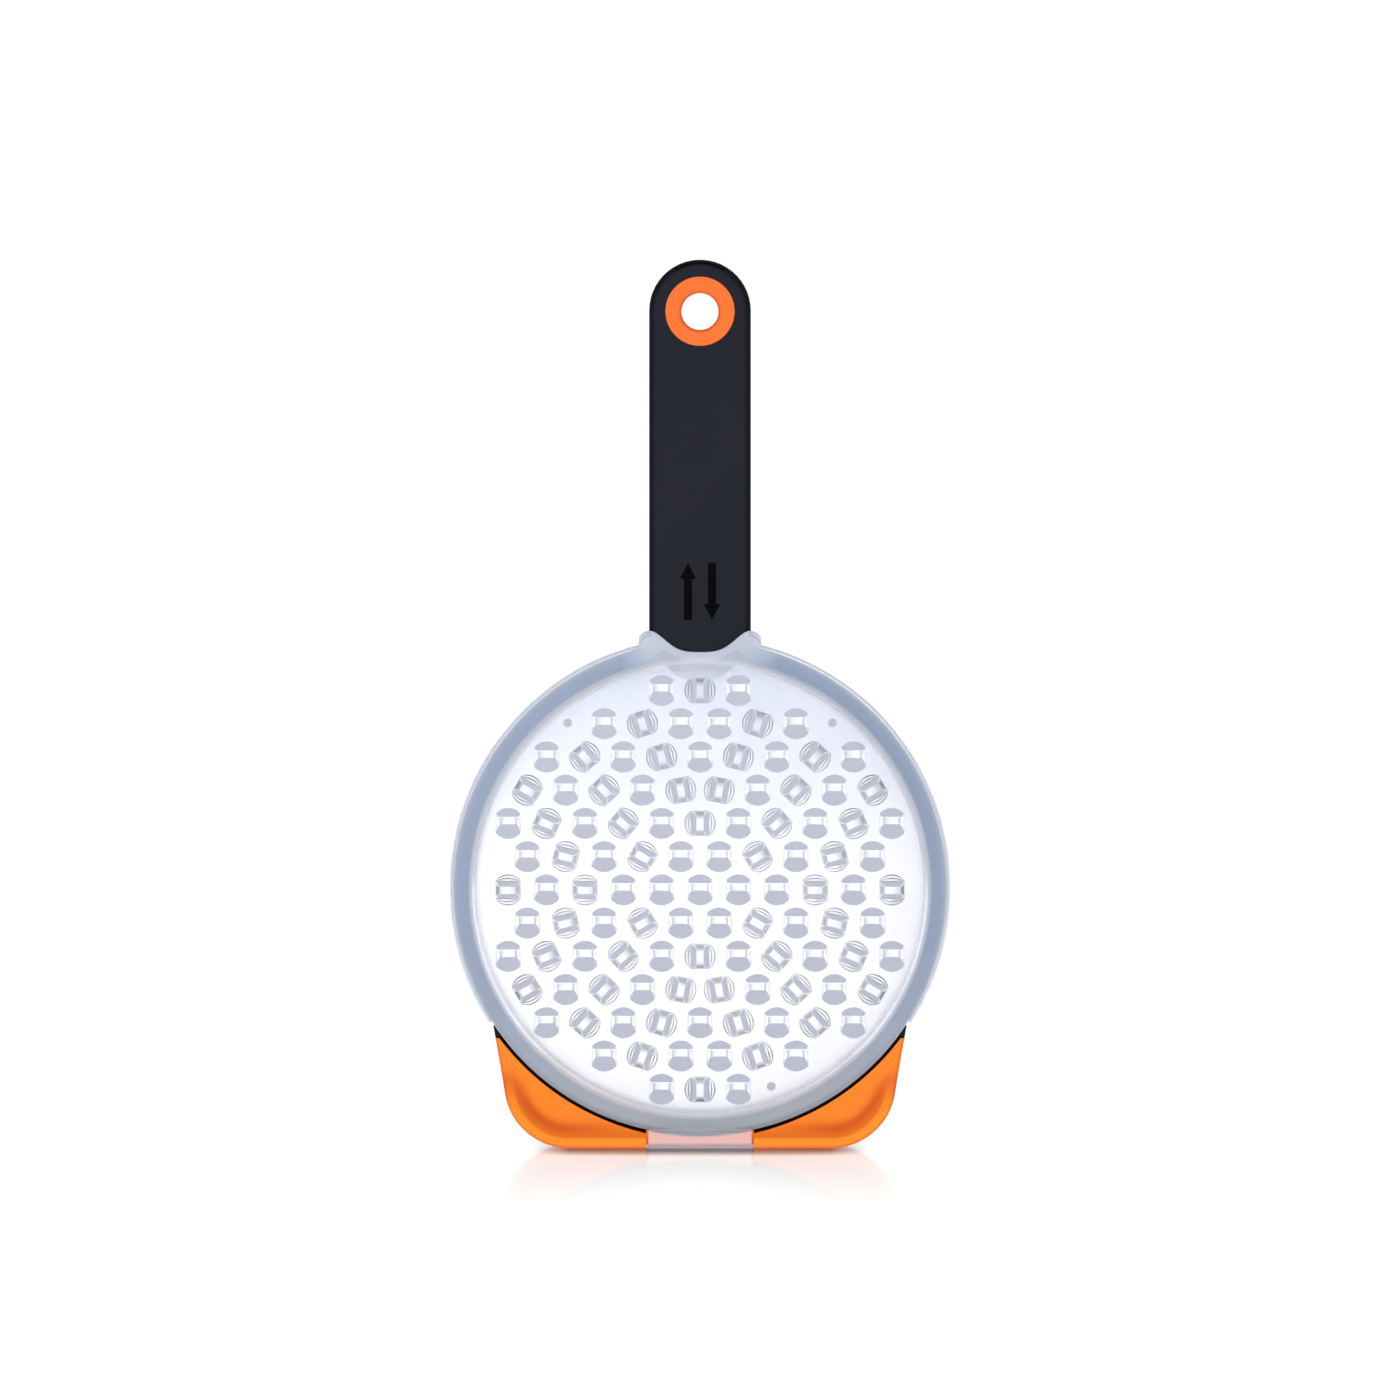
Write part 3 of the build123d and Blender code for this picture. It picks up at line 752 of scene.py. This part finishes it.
def sheet_triangles(rim, holes):
    """Flat points and the triangles between the rim and the holes."""
    points, edges = [], []
    for outline in [rim] + holes:
        start = len(points)
        points += [Vector(p) for p in outline]
        edges += [(start + i, start + (i + 1) % len(outline)) for i in range(len(outline))]
    found = delaunay_2d_cdt(points, edges, [], KEEP_INSIDE_RIM, POINT_GAP)
    flat, triangles = found[0], found[2]
    hole_middles = [middle_of(hole) for hole in holes]
    kept = []
    for triangle in triangles:
        middle = middle_of([flat[i] for i in triangle])
        nearest = min(range(len(holes)), key=lambda i: math.dist(middle, hole_middles[i]))
        if not in_outline(middle, holes[nearest]):
            kept.append(tuple(triangle))
    return flat, kept


def plate_sheet(teeth):
    """The flat sheet: both faces, then the walls of the rim and of every hole."""
    rim = circle(0.0, HEAD_Z, PLATE_RADIUS, PLATE_STEPS)
    holes = hole_outlines(teeth)
    flat, triangles = sheet_triangles(rim, holes)
    vertices = [(point.x, y, point.y) for y in (-PLATE_HALF, PLATE_HALF) for point in flat]
    faces = []
    for triangle in triangles:
        faces.append(triangle)
        faces.append(tuple(i + len(flat) for i in reversed(triangle)))
    for outline in [rim] + holes:
        start = len(vertices)
        for x, z in outline:
            vertices += [(x, -PLATE_HALF, z), (x, PLATE_HALF, z)]
        for i in range(len(outline)):
            k = (i + 1) % len(outline)
            faces.append((start + 2 * i, start + 2 * k, start + 2 * k + 1, start + 2 * i + 1))
    return vertices, faces


def build_plate(material):
    teeth = tooth_lattice()
    vertices, faces = plate_sheet(teeth)
    for tooth in teeth:
        add_blade(tooth, vertices, faces)
        if not tooth[2]:
            add_lips(tooth, vertices, faces)
    new_piece(
        "plate_with_teeth", vertices, faces, material, "grater", "grater_plate"
    )


# ------------------------------------------------------------------ rubber foot


def foot_lean():
    """Slope of the foot's side, from level."""
    return math.atan2(FOOT_TIP[1], FOOT_TIP[0] - FOOT_CORNER_X)


def foot_corner_centre_x():
    return FOOT_CORNER_X - FOOT_CORNER_RADIUS * math.tan(foot_lean() / 2)


def edge_distance(x, z):
    """Distance in from the foot's outline."""
    lean = foot_lean()
    x = abs(x)
    to_side = (FOOT_CORNER_X - x) * math.sin(lean) + z * math.cos(lean)
    centre_x = foot_corner_centre_x()
    below_side_end = (z - FOOT_CORNER_RADIUS) < (x - centre_x) * -math.cos(lean) / math.sin(lean)
    if x > centre_x and below_side_end:
        reach = math.hypot(x - centre_x, z - FOOT_CORNER_RADIUS)
        return max(0.0, FOOT_CORNER_RADIUS - reach)
    return max(0.0, min(z, to_side))


def foot_depth(x, z):
    """Half the foot's front-to-back size at a point of its outline."""
    inward = edge_distance(x, z)
    across = min(1.0, max(0.0, (inward - BEAD_WIDTH) / COVE_WIDTH))
    bead = (1 - across) ** COVE_POWER
    bead *= 1 - BEAD_SAG * smooth(inward, BEAD_SAG_START * BEAD_WIDTH, BEAD_WIDTH)
    bead *= 1 - smooth(z, *FLARE_FADE)
    depth = FLAT_DEPTH + (BEAD_DEPTH - FLAT_DEPTH) * bead
    if inward < EDGE_ROUND:
        depth -= EDGE_ROUND - math.sqrt(max(0.0, EDGE_ROUND**2 - (EDGE_ROUND - inward) ** 2))
    return depth


def foot_outer_line():
    """Points along the underside, round the corner and up one side."""
    centre_x = foot_corner_centre_x()
    lean = foot_lean()
    points = []
    for i in range(UNDERSIDE_STEPS + 1):
        share = i / UNDERSIDE_STEPS
        points.append((CHANNEL_HALF_WIDTH + (centre_x - CHANNEL_HALF_WIDTH) * share, 0.0))
    for i in range(1, CORNER_STEPS + 1):
        angle = lean * i / CORNER_STEPS
        x = centre_x + FOOT_CORNER_RADIUS * math.sin(angle)
        points.append((x, FOOT_CORNER_RADIUS * (1 - math.cos(angle))))
    start_x, start_z = points[-1]
    end_x = FOOT_CORNER_X + RUBBER_TOP_Z / math.tan(lean)
    for i in range(1, SIDE_STEPS + 1):
        share = i / SIDE_STEPS
        x = start_x + (end_x - start_x) * share
        points.append((x, start_z + (RUBBER_TOP_Z - start_z) * share))
    return points


def foot_columns():
    """Pairs of (inner, outer) points along one side, from the channel to the top."""
    outer = foot_outer_line()
    lengths = [0.0]
    for first, second in zip(outer, outer[1:]):
        lengths.append(lengths[-1] + math.dist(first, second))
    start = math.asin(CHANNEL_HALF_WIDTH / RUBBER_BAND_RADIUS)
    end = math.acos((HEAD_Z - RUBBER_TOP_Z) / RUBBER_BAND_RADIUS)
    columns = []
    for length, point in zip(lengths, outer):
        angle = start + (end - start) * length / lengths[-1]
        x = RUBBER_BAND_RADIUS * math.sin(angle)
        columns.append(((x, HEAD_Z - RUBBER_BAND_RADIUS * math.cos(angle)), point))
    return columns


def foot_side(sign):
    """One half of the boot as a closed shell."""
    columns = foot_columns()
    vertices = []
    for inner, outer in columns:
        front = []
        for j in range(FOOT_ROWS + 1):
            share = math.sin(math.pi / 2 * j / FOOT_ROWS)
            x = inner[0] + (outer[0] - inner[0]) * share
            z = inner[1] + (outer[1] - inner[1]) * share
            front.append((sign * x, -foot_depth(x, z), z))
        vertices += front
        vertices += [(x, -y, z) for x, y, z in reversed(front)]
    size = 2 * (FOOT_ROWS + 1)
    faces = tube_faces(0, len(columns), size)
    for base in (0, (len(columns) - 1) * size):
        for j in range(FOOT_ROWS):
            far = base + size - 1 - j
            faces.append((base + j, base + j + 1, far - 1, far))
    return vertices, faces


def foot_middle():
    """Thin part of the boot behind and under the cover's tongue."""
    vertices = []
    for i in range(MIDDLE_STEPS + 1):
        x = -CHANNEL_HALF_WIDTH + 2 * CHANNEL_HALF_WIDTH * i / MIDDLE_STEPS
        top = HEAD_Z - math.sqrt(MIDDLE_BAND_RADIUS**2 - x**2)
        for y, z in (
            (-CHANNEL_DEPTH, CHANNEL_FLOOR), (-CHANNEL_DEPTH, top),
            (CHANNEL_DEPTH, top), (CHANNEL_DEPTH, CHANNEL_FLOOR),
        ):
            vertices.append((x, y, z))
    faces = tube_faces(0, MIDDLE_STEPS + 1, 4)
    faces.append((0, 1, 2, 3))
    faces.append(tuple(4 * MIDDLE_STEPS + j for j in (3, 2, 1, 0)))
    return vertices, faces


def build_foot(material):
    vertices, faces = [], []
    for part in (foot_side(1), foot_side(-1), foot_middle()):
        start = len(vertices)
        vertices += part[0]
        faces += [tuple(start + i for i in face) for face in part[1]]
    new_piece("foot_boot", vertices, faces, material, "grater", "rubber_foot")


# ------------------------------------------------------------------------ cover


def lip_height(x):
    """The lip's edge over the notch: a smooth U above the head's centre."""
    share = min(1.0, abs(x) / LIP_PEAK[0]) ** LIP_SWING_POWER
    return LIP_DIP + (LIP_PEAK[1] - LIP_DIP) * (1 - math.cos(math.pi * share)) / 2


def lug_height(x):
    """The top of the lugs either side of the notch, rounded at their outer corners."""
    past_peak = abs(x) - LIP_PEAK[0]
    if past_peak <= 0:
        return LIP_PEAK[1]
    round_radius = LUG_EDGE_X - LIP_PEAK[0]
    inside = min(round_radius, past_peak)
    return LIP_PEAK[1] - (round_radius - math.sqrt(max(0.0, round_radius**2 - inside**2)))


def face_notch(x):
    """The face's edge under the notch: level in the middle, then up to its corners."""
    share = smooth(abs(x), FACE_NOTCH_FLAT, FACE_NOTCH_PEAK[0])
    return FACE_NOTCH_DIP + (FACE_NOTCH_PEAK[1] - FACE_NOTCH_DIP) * share


def radius_at(turn, height_of):
    """How far out in a direction a curve given as height over x lies."""
    radius = LOWER_RIM_RADIUS
    for _ in range(RADIUS_ROUNDS):
        radius = height_of(radius * math.cos(turn)) / math.sin(turn)
    return radius


def column_kind(angle):
    """Which edge the cover has in a direction, with the direction in degrees."""
    x = math.cos(math.radians(angle))
    up = math.sin(math.radians(angle))
    if up > 0 and abs(x) / up < LIP_PEAK[0] / LIP_PEAK[1]:
        return "lip"
    if up < 0 and abs(x) * LOWER_RIM_RADIUS < TONGUE_HALF_WIDTH:
        return "tongue"
    if SKIRT_END < angle < 540 - SKIRT_END:
        return "rim"
    return "skirt"


def cover_edges(turn, kind):
    """Radii of the face's edge, the step's edge and the rim in one direction."""
    if math.sin(turn) <= NOTCH_MIN_SINE:
        rim_edge = LOWER_RIM_RADIUS if kind in ("rim", "tongue") else RIM_RADIUS
        return FACE_RADIUS, STEP_RADIUS, rim_edge
    inside = max(0.0, 1 - abs(math.cos(turn)) / NOTCH_MAX_COSINE)
    face_edge = min(FACE_RADIUS, radius_at(turn, face_notch))
    slope = NOTCH_SLOPE[0] + NOTCH_SLOPE[1] * smooth(inside, 0, 0.5)
    step_edge = min(STEP_RADIUS + NOTCH_STEP_RISE * inside, face_edge + slope)
    if kind == "lip":
        return face_edge, step_edge, radius_at(turn, lip_height)
    rim_edge = max(RIM_RADIUS, radius_at(turn, lug_height))
    if abs(math.cos(turn)) * rim_edge > LUG_EDGE_X:
        rim_edge = RIM_RADIUS
    return face_edge, step_edge, rim_edge


def face_path(face_edge, step_edge, rim_edge):
    """Outside and inside of the wall as (radius, y), from the centre to the rim's flat."""
    outside = [(face_edge * share, FACE_Y) for share in FACE_RINGS]
    for step in range(BEND_STEPS + 1):
        bend = FACE_BEND_TURN * step / BEND_STEPS
        across = math.sin(bend) / math.sin(FACE_BEND_TURN)
        drop = FACE_BEND_DROP * (1 - math.cos(bend))
        outside.append((face_edge - FACE_BEND_RADIUS * (1 - across), FACE_Y + drop))
    outside += [(step_edge + outward, RIM_Y + y) for outward, y in STEP_ROUND]
    outside.append((rim_edge - RIM_FLAT_INSET, RIM_Y))
    bend_middle = len(FACE_RINGS) + BEND_STEPS // 2
    inside = []
    for i, (radius, y) in enumerate(outside):
        set_in = INNER_SET_IN if i > bend_middle else 0.0
        inside.append((radius - set_in, y + WALL))
    return outside, inside


def edge_path(kind, rim_edge):
    """Outside and inside of the skirt, or of the plain rim, as (radius, y)."""
    back = SKIRT_BACK_Y if kind == "skirt" else RIM_Y + WALL
    bend_radius = SKIRT_BEND_RADIUS if kind == "skirt" else RIM_BEND_RADIUS
    outside = []
    for step in range(BEND_STEPS + 1):
        bend = math.pi / 2 * step / BEND_STEPS
        y = RIM_Y + bend_radius * (1 - math.cos(bend))
        outside.append((rim_edge - bend_radius * (1 - math.sin(bend)), y))
    bend_end = RIM_Y + bend_radius
    for share, set_in in EDGE_SHARES:
        outside.append((rim_edge - set_in, bend_end + (back - bend_end) * share))
    if kind != "skirt":
        return outside, [(radius, RIM_Y + WALL) for radius, _ in outside]
    inside = [(min(radius, rim_edge - WALL), max(y, RIM_Y + WALL)) for radius, y in outside]
    inside[-1] = (rim_edge - WALL + SKIRT_MOUTH_EASE, back)
    return outside, inside


def laid_out(turn, path):
    """Points of a (radius, y) path in one direction from the head's centre."""
    return [(r * math.cos(turn), y, HEAD_Z + r * math.sin(turn)) for r, y in path]


def cover_column(angle, kind):
    """Outer then inner points of the cover's wall along one direction, centre to edge."""
    turn = math.radians(angle)
    face_edge, step_edge, rim_edge = cover_edges(turn, kind)
    face = face_path(face_edge, step_edge, rim_edge)
    outer, inner = laid_out(turn, face[0]), laid_out(turn, face[1])
    if kind == "tongue":
        x = rim_edge * math.cos(turn)
        outer += [(x, y, z) for y, z in TONGUE_OUTSIDE]
        inner += [(x, y, z) for y, z in TONGUE_INSIDE]
    else:
        edge = edge_path(kind, rim_edge)
        outer += laid_out(turn, edge[0])
        inner += laid_out(turn, edge[1])
    return outer, inner


def cover_angles():
    """Directions of the columns in degrees, closer by the handle, paired where kinds meet."""
    angles = {round(i * COLUMN_ANGLE, 3) for i in range(round(360 / COLUMN_ANGLE))}
    angles |= {round(NOTCH_START + i * NOTCH_ANGLE, 3) for i in range(NOTCH_COLUMNS)}
    tongue_half = math.degrees(math.asin(TONGUE_HALF_WIDTH / LOWER_RIM_RADIUS))
    lip_half = math.degrees(math.atan(LIP_PEAK[0] / LIP_PEAK[1]))
    for middle, half in ((270.0, tongue_half), (90.0, lip_half), (270.0, 270.0 - SKIRT_END)):
        for edge in (middle - half, middle + half):
            angles = {a for a in angles if abs(a - edge) > 3 * PAIR_ANGLE}
            angles |= {edge - PAIR_ANGLE, edge + PAIR_ANGLE}
    return sorted(angles)


def build_cover(material):
    vertices, faces = [], []
    columns = []
    for angle in cover_angles():
        kind = column_kind(angle)
        outer, inner = cover_column(angle, kind)
        columns.append((kind, len(vertices), len(outer)))
        vertices += outer + inner
    for column, following in zip(columns, columns[1:] + columns[:1]):
        kind, a, count = column
        next_kind, b, _ = following
        last = count if kind == next_kind else SHARED_POINTS
        for j in range(last - 1):
            faces.append((a + j, a + j + 1, b + j + 1, b + j))
            k = j + count
            faces.append((b + k, b + k + 1, a + k + 1, a + k))
        if kind == next_kind:
            edge = count - 1
            faces.append((a + edge, a + edge + count, b + edge + count, b + edge))
            continue
        for start in (a, b):
            for j in range(SHARED_POINTS - 1, count - 1):
                k = j + count
                faces.append((start + j, start + j + 1, start + k + 1, start + k))
    new_piece("cover_shell", vertices, faces, material, "cover", "cover")


# ------------------------------------------------------------------------ stage


def build_world():
    """White where it is seen, painted grey-blue shade where it is seen through the cover, and soft
    light.
    """
    world = bpy.data.worlds.new("studio")
    bpy.context.scene.world = world
    nodes = Nodes(world, "ShaderNodeOutputWorld")
    rays = nodes.add("ShaderNodeLightPath").outputs
    depth = nodes.axes("Generated")["Y"]
    level = nodes.calculate(
        "ADD",
        nodes.between(
            depth, -LIGHT_RISE[0], -LIGHT_RISE[1], SIDE_LIGHT / 2, FRONT_LIGHT, eased=True
        ),
        nodes.between(depth, *LIGHT_RISE, SIDE_LIGHT / 2, BACK_LIGHT, eased=True),
    )
    light = nodes.add("ShaderNodeBackground", Color=LIGHT_COLOR, Strength=level)
    seen = nodes.add("ShaderNodeBackground", Color=WHITE, Strength=SEEN_WHITE)
    behind = nodes.add("ShaderNodeBackground", Color=SHADE_BEHIND_COVER)
    through_cover = nodes.calculate("GREATER_THAN", rays["Transparent Depth"], 0.5)
    direct = nodes.mix_shader(through_cover, seen.outputs[0], behind.outputs[0])
    nodes.finish(nodes.mix_shader(rays["Is Camera Ray"], light.outputs[0], direct))


def floor_light(nodes, away, rays):
    """The floor as it lights the grater: matt, glowing more strongly farther out."""
    speckle = nodes.noise(3.0, 2.0)
    color = nodes.mix_color(speckle, (0.88, 0.88, 0.89, 1), (0.92, 0.92, 0.92, 1))
    matt = nodes.add("ShaderNodeBsdfPrincipled", Base_Color=color, Roughness=0.5)
    strength = nodes.ramp(
        rays["Is Glossy Ray"],
        nodes.over(away, *FLOOR_GLOW_REACH, *FLOOR_GLOW),
        FLOOR_IN_MIRRORS,
    )
    glow = nodes.add("ShaderNodeEmission", Color=WHITE, Strength=strength)
    both = nodes.add("ShaderNodeAddShader")
    nodes.fill(both.inputs[0], matt.outputs[0])
    nodes.fill(both.inputs[1], glow.outputs[0])
    return both.outputs[0]


def floor_seen(nodes, away):
    """The floor as the camera sees it: white, with a painted contact shadow and a reflection near
    the foot.
    """
    near = nodes.add("ShaderNodeAmbientOcclusion", Distance=CONTACT_REACH)
    near.samples = CONTACT_SAMPLES
    open_sky = nodes.between(near.outputs["AO"], *CONTACT_OPENNESS)
    sideways = nodes.calculate("ABSOLUTE", nodes.axes()["X"])
    unshaded = nodes.over(sideways, *CONTACT_SIDEWAYS, open_sky, 1.0)
    # Painted contact shadow: the floor's colour darkens where little sky is open.
    shadowed_floor = nodes.mix_color(unshaded, CONTACT_SHADOW_COLOR, WHITE)
    plain = nodes.add("ShaderNodeEmission", Color=shadowed_floor, Strength=FLOOR_SEEN)
    mirror = nodes.add("ShaderNodeBsdfAnisotropic", Color=(1.0, 0.98, 0.88, 1), Roughness=0.08)
    fade = nodes.over(away, *REFLECTION_REACH, REFLECTION, 0.0)
    return nodes.mix_shader(fade, plain.outputs[0], mirror.outputs[0])


def studio_floor():
    nodes = material_nodes("studio_floor")
    away = nodes.vector("LENGTH", nodes.place())
    rays = nodes.add("ShaderNodeLightPath").outputs
    # Painted grey-blue shade where the floor is seen through the cover
    behind = nodes.add("ShaderNodeEmission", Color=SHADE_BEHIND_COVER, Strength=1.0)
    through_cover = nodes.calculate("GREATER_THAN", rays["Transparent Depth"], 0.5)
    direct = nodes.mix_shader(through_cover, floor_seen(nodes, away), behind.outputs[0])
    lit = floor_light(nodes, away, rays)
    return nodes.finish(nodes.mix_shader(rays["Is Camera Ray"], lit, direct))


def add_to_stage(item):
    bpy.context.scene.collection.objects.link(item)


def build_floor(material):
    mesh = bpy.data.meshes.new("floor")
    reach = FLOOR_REACH
    corners = [(-reach, -reach, 0), (reach, -reach, 0), (reach, reach, 0), (-reach, reach, 0)]
    mesh.from_pydata(corners, [], [(0, 1, 2, 3)])
    mesh.materials.append(material)
    add_to_stage(bpy.data.objects.new("floor", mesh))


def build_lamps():
    for name, place, size, power in LAMPS:
        lamp = bpy.data.lights.new(name, "AREA")
        lamp.size = size
        lamp.energy = power
        item = bpy.data.objects.new(name, lamp)
        item.location = place
        aim = Vector(LAMP_TARGET) - Vector(place)
        item.rotation_euler = aim.to_track_quat("-Z", "Y").to_euler()
        add_to_stage(item)


def build_camera():
    camera = bpy.data.objects.new("camera", bpy.data.cameras.new("camera"))
    camera.location = CAMERA_PLACE
    camera.rotation_euler = (math.pi / 2, 0, 0)
    camera.data.lens = CAMERA_LENS
    camera.data.shift_y = CAMERA_SHIFT_Y
    bpy.context.scene.collection.objects.link(camera)
    bpy.context.scene.camera = camera


nylon = moulded_nylon()
dress("front_frame", nylon)
dress("back_frame", nylon)
build_plate(brushed_steel())
dress("hang_ring", orange_plastic())
build_foot(orange_rubber())
build_cover(milky_plastic())
build_world()
build_floor(studio_floor())
build_lamps()
build_camera()
bpy.context.scene.view_settings.view_transform = "Standard"
